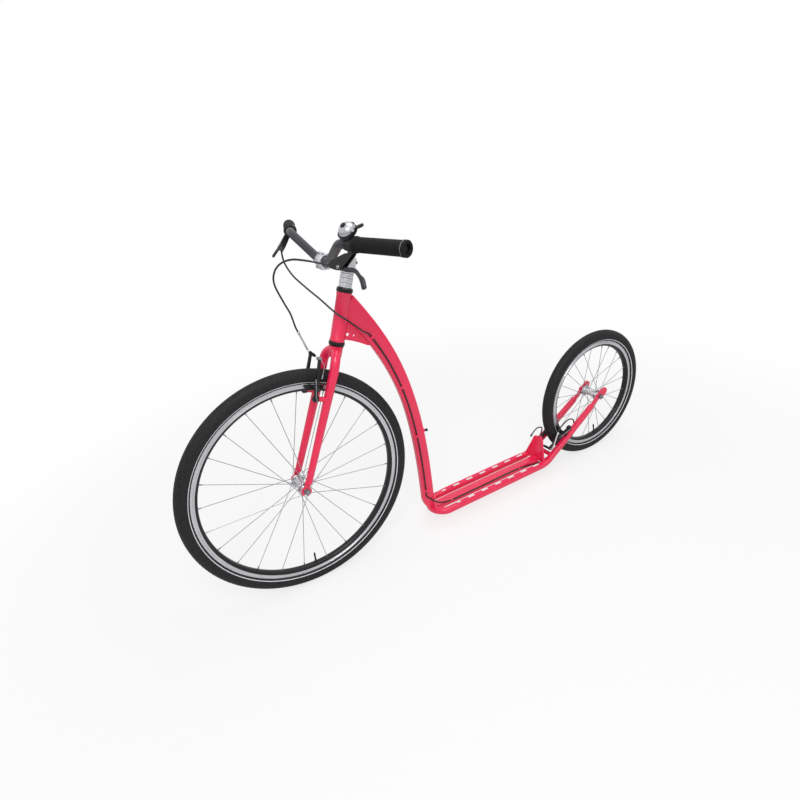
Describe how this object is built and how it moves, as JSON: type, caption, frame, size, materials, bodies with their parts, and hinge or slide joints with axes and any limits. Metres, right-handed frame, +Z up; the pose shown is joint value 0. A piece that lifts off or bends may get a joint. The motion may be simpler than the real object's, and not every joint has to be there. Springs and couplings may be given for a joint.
{
  "type": "kick bike",
  "caption": "Foot scooter with a tall spoked front wheel, small rear wheel, low twin-rail deck, curved main tube, wide handlebar, bell and hand-levered rim brakes.",
  "frame": {"origin": "on the ground under the middle of the whole bike, in its middle plane", "axes": "+X forward, +Y to the rider's left, +Z up; the wheels stand on z = 0 with the steering straight"},
  "size_m": [1.7714, 0.6848, 1.0449],
  "materials": {
    "frame_paint": "glossy pink paint over welded tube",
    "tyre_rubber": "black rubber with a thin pale ring round the side wall",
    "rim_metal": "machined silver brake track over a black lower wall",
    "spoke_steel": "bright drawn wire",
    "silver_alloy": "polished silver",
    "black_alloy": "satin black",
    "bar_alloy": "satin dark grey",
    "grip_rubber": "matt soft rubber",
    "cable_black": "smooth black cable casing",
    "bell_chrome": "bright plated dome",
    "deck_strip": "grip tape in a white and pink check"
  },
  "bodies": {
    "frame": {"head_tube": "frame_paint", "headset_lower": "black_alloy", "headset_upper": "black_alloy", "main_tube": "frame_paint", "head_gusset": "frame_paint", "frame_peg": "black_alloy", "deck_yoke": "frame_paint", "deck_rail_left": "frame_paint", "deck_rail_right": "frame_paint", "deck_beam": "frame_paint", "deck_strip_left": "deck_strip", "deck_strip_right": "deck_strip", "heel_plate": "frame_paint", "stay_bridge": "frame_paint", "rear_axle": "silver_alloy", "rear_brake_cable": "cable_black", "rear_cable_loop": "cable_black"},
    "steering": {"fork_crown": "frame_paint", "fork_leg_left": "frame_paint", "fork_leg_right": "frame_paint", "steerer_tube": "silver_alloy", "stem_spacers": "silver_alloy", "stem": "silver_alloy", "stem_face_plate": "silver_alloy", "handlebar": "bar_alloy", "grip_left": "grip_rubber", "grip_right": "grip_rubber", "lever_bracket_left": "black_alloy", "lever_bracket_right": "black_alloy", "bell_base": "black_alloy", "bell_dome": "bell_chrome", "front_axle": "silver_alloy", "front_brake_cable": "cable_black"},
    "front_wheel": {"front_tyre": "tyre_rubber", "front_rim": "rim_metal", "front_hub": "silver_alloy", "front_spokes_left": "spoke_steel", "front_spokes_right": "spoke_steel", "front_valve": "black_alloy"},
    "rear_wheel": {"rear_tyre": "tyre_rubber", "rear_rim": "rim_metal", "rear_hub": "silver_alloy", "rear_spokes_left": "spoke_steel", "rear_spokes_right": "spoke_steel", "rear_valve": "black_alloy"},
    "left_lever": {"brake_lever_left": "black_alloy"},
    "right_lever": {"brake_lever_right": "black_alloy"},
    "front_arm_left": {"front_brake_arm_left": "black_alloy", "front_brake_pad_left": "grip_rubber", "front_brake_wire": "spoke_steel"},
    "front_arm_right": {"front_brake_arm_right": "black_alloy", "front_brake_pad_right": "grip_rubber", "front_brake_noodle": "silver_alloy"},
    "rear_arm_left": {"rear_brake_arm_left": "black_alloy", "rear_brake_pad_left": "grip_rubber", "rear_brake_noodle": "silver_alloy"},
    "rear_arm_right": {"rear_brake_arm_right": "black_alloy", "rear_brake_pad_right": "grip_rubber", "rear_brake_wire": "spoke_steel"},
    "bell_thumb": {"bell_lever": "black_alloy"}
  },
  "joints": [
    {"name": "steering_turn", "type": "hinge", "parent": "frame", "child": "steering", "pos_m": [0.41388, 0, 0.56664], "axis": [-0.3338, 0, 0.9426], "range_deg": [-60, 60], "deforming": ["rear_cable_loop"]},
    {"name": "front_wheel_spin", "type": "hinge", "parent": "steering", "child": "front_wheel", "pos_m": [0.53975, 0, 0.346], "axis": [0, 1, 0], "continuous": true},
    {"name": "rear_wheel_spin", "type": "hinge", "parent": "frame", "child": "rear_wheel", "pos_m": [-0.64125, 0, 0.2445], "axis": [0, 1, 0], "continuous": true},
    {"name": "left_lever_pull", "type": "hinge", "parent": "steering", "child": "left_lever", "pos_m": [0.38463, 0.16301, 0.9518], "axis": [0.9012, 0.3196, 0.2928], "range_deg": [0, 24], "stiffness_Nm_per_rad": 0.8, "springref_deg": -11.46},
    {"name": "right_lever_pull", "type": "hinge", "parent": "steering", "child": "right_lever", "pos_m": [0.403, -0.16968, 0.96312], "axis": [-0.6835, 0.2564, -0.6835], "range_deg": [0, 24], "stiffness_Nm_per_rad": 0.8, "springref_deg": -11.46},
    {"name": "front_arm_left_swing", "type": "hinge", "parent": "steering", "child": "front_arm_left", "pos_m": [0.45993, 0.04, 0.60735], "axis": [0.9426, 0, 0.3338], "range_deg": [0, 3.25]},
    {"name": "front_arm_right_swing", "type": "hinge", "parent": "steering", "child": "front_arm_right", "pos_m": [0.45993, -0.04, 0.60735], "axis": [-0.9426, 0, -0.3338], "range_deg": [0, 3.25]},
    {"name": "rear_arm_left_swing", "type": "hinge", "parent": "frame", "child": "rear_arm_left", "pos_m": [-0.48858, 0.04, 0.16409], "axis": [-0.5606, 0, -0.8281], "range_deg": [0, 3.25]},
    {"name": "rear_arm_right_swing", "type": "hinge", "parent": "frame", "child": "rear_arm_right", "pos_m": [-0.48858, -0.04, 0.16409], "axis": [0.5606, 0, 0.8281], "range_deg": [0, 3.25]},
    {"name": "bell_thumb_push", "type": "hinge", "parent": "steering", "child": "bell_thumb", "pos_m": [0.35883, 0.17845, 1.02149], "axis": [0.5636, 0.2185, 0.7966], "range_deg": [0, 25], "stiffness_Nm_per_rad": 0.05, "springref_deg": -11.46}
  ],
  "couplings": [
    {"joint": "front_arm_left_swing", "follows": "left_lever_pull", "ratio": 0.1333},
    {"joint": "front_arm_right_swing", "follows": "left_lever_pull", "ratio": 0.1333},
    {"joint": "rear_arm_left_swing", "follows": "right_lever_pull", "ratio": 0.1333},
    {"joint": "rear_arm_right_swing", "follows": "right_lever_pull", "ratio": 0.1333}
  ]
}
